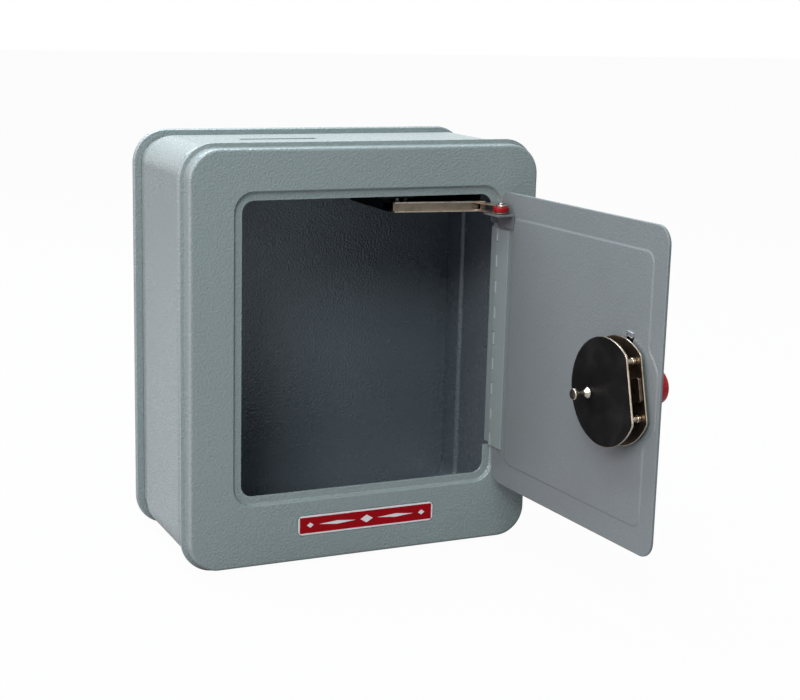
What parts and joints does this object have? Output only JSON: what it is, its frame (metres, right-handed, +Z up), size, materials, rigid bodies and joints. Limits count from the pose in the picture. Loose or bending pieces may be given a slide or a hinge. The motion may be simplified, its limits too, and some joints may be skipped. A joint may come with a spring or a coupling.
{
  "type": "donation box",
  "caption": "Small upright sheet steel money box like a safe, with rounded rims, a hinged door, a combination lock with a dial, a coin slot in its top and a door alarm.",
  "frame": {"origin": "middle of the flat crest of the front rim, on the surface that the box stands on", "axes": "+Z up, +X to the right seen from the front, +Y from the front face to the rear cover; the door opens towards -Y"},
  "size_m": [0.1587, 0.1946, 0.1731],
  "materials": {
    "case_paint": "grey hammertone enamel, satin",
    "door_paint": "grey hammertone enamel, satin",
    "hinge_paint": "grey hammertone enamel over a steel hinge",
    "lug_paint": "dark grey enamel, satin",
    "label_face": "glossy red with a white border",
    "lock_plate": "black japanned face with bright nickel edges",
    "lock_metal": "nickel-plated brass, polished",
    "wheel_metal": "bare brass",
    "bolt_metal": "dull oxidised steel",
    "pin_steel": "bright steel",
    "dial_plastic": "glossy red with white marks",
    "index_metal": "satin",
    "arm_metal": "nickel-plated steel",
    "roller_plastic": "red, semi-matt",
    "housing_paint": "black, matt",
    "bell_metal": "nickel-plated bell metal"
  },
  "bodies": {
    "case": {"body_band": "case_paint", "front_frame": "case_paint", "rear_cover": "case_paint", "label_plate": "label_face", "hinge_leaf_frame": "hinge_paint", "hinge_pin": "pin_steel", "arm_guide": "housing_paint", "alarm_housing": "housing_paint", "bell": "bell_metal", "bell_post": "pin_steel", "striker_pin": "pin_steel"},
    "door": {"door_panel": "door_paint", "hinge_leaf_door": "hinge_paint", "door_lug": "lug_paint", "lug_rivet": "pin_steel", "lock_back_plate": "lock_plate", "lock_front_plate": "lock_plate", "lock_feet": "lock_metal", "lock_post_upper": "lock_metal", "lock_post_lower": "lock_metal", "lock_post_rear": "lock_metal", "dial_index": "index_metal"},
    "arm": {"alarm_arm": "arm_metal"},
    "roller": {"alarm_roller": "roller_plastic"},
    "striker": {"striker": "pin_steel"},
    "dial": {"lock_spindle": "lock_metal", "drive_wheel": "wheel_metal", "dial_disc": "dial_plastic", "dial_knob": "dial_plastic"},
    "wheel_1": {"lock_wheel_1": "wheel_metal"},
    "wheel_2": {"lock_wheel_2": "wheel_metal"},
    "bolt": {"lock_bolt": "bolt_metal"},
    "setting_knob": {"setting_knob": "lock_metal"}
  },
  "joints": [
    {"name": "door_hinge", "type": "hinge", "parent": "case", "child": "door", "pos_m": [0.05857, -0.0064, 0.09015], "axis": [0, 0, 1], "range_deg": [-93.56, 0]},
    {"name": "arm_pivot", "type": "hinge", "parent": "door", "child": "arm", "pos_m": [0.05414, -0.01569, 0.1459], "axis": [0, 0, 1], "range_deg": [0, 111.5]},
    {"name": "roller_spin", "type": "hinge", "parent": "arm", "child": "roller", "pos_m": [0.05414, -0.01569, 0.1459], "axis": [0, 0, 1], "continuous": true},
    {"name": "striker_swing", "type": "hinge", "parent": "case", "child": "striker", "pos_m": [0.02325, 0.019, 0.1445], "axis": [0, 0, -1], "range_deg": [0, 13.7], "stiffness_Nm_per_rad": 0.004},
    {"name": "dial_turn", "type": "hinge", "parent": "door", "child": "dial", "pos_m": [0.06427, -0.09808, 0.08821], "axis": [0.9981, 0.0621, 0], "continuous": true},
    {"name": "wheel_1_turn", "type": "hinge", "parent": "dial", "child": "wheel_1", "pos_m": [0.05922, -0.0984, 0.08821], "axis": [0.9981, 0.0621, 0], "continuous": true},
    {"name": "wheel_2_turn", "type": "hinge", "parent": "dial", "child": "wheel_2", "pos_m": [0.05808, -0.09847, 0.08821], "axis": [0.9981, 0.0621, 0], "continuous": true},
    {"name": "bolt_slide", "type": "slide", "parent": "door", "child": "bolt", "axis": [0.0603, -0.9695, 0.2375], "range_m": [0, 0.0072]},
    {"name": "setting_knob_pull", "type": "slide", "parent": "door", "child": "setting_knob", "axis": [-0.9981, -0.0621, 0], "range_m": [0, 0.002], "stiffness_N_per_m": 60}
  ],
  "couplings": [
    {"joint": "arm_pivot", "follows": "door_hinge", "ratio": -1.19}
  ]
}
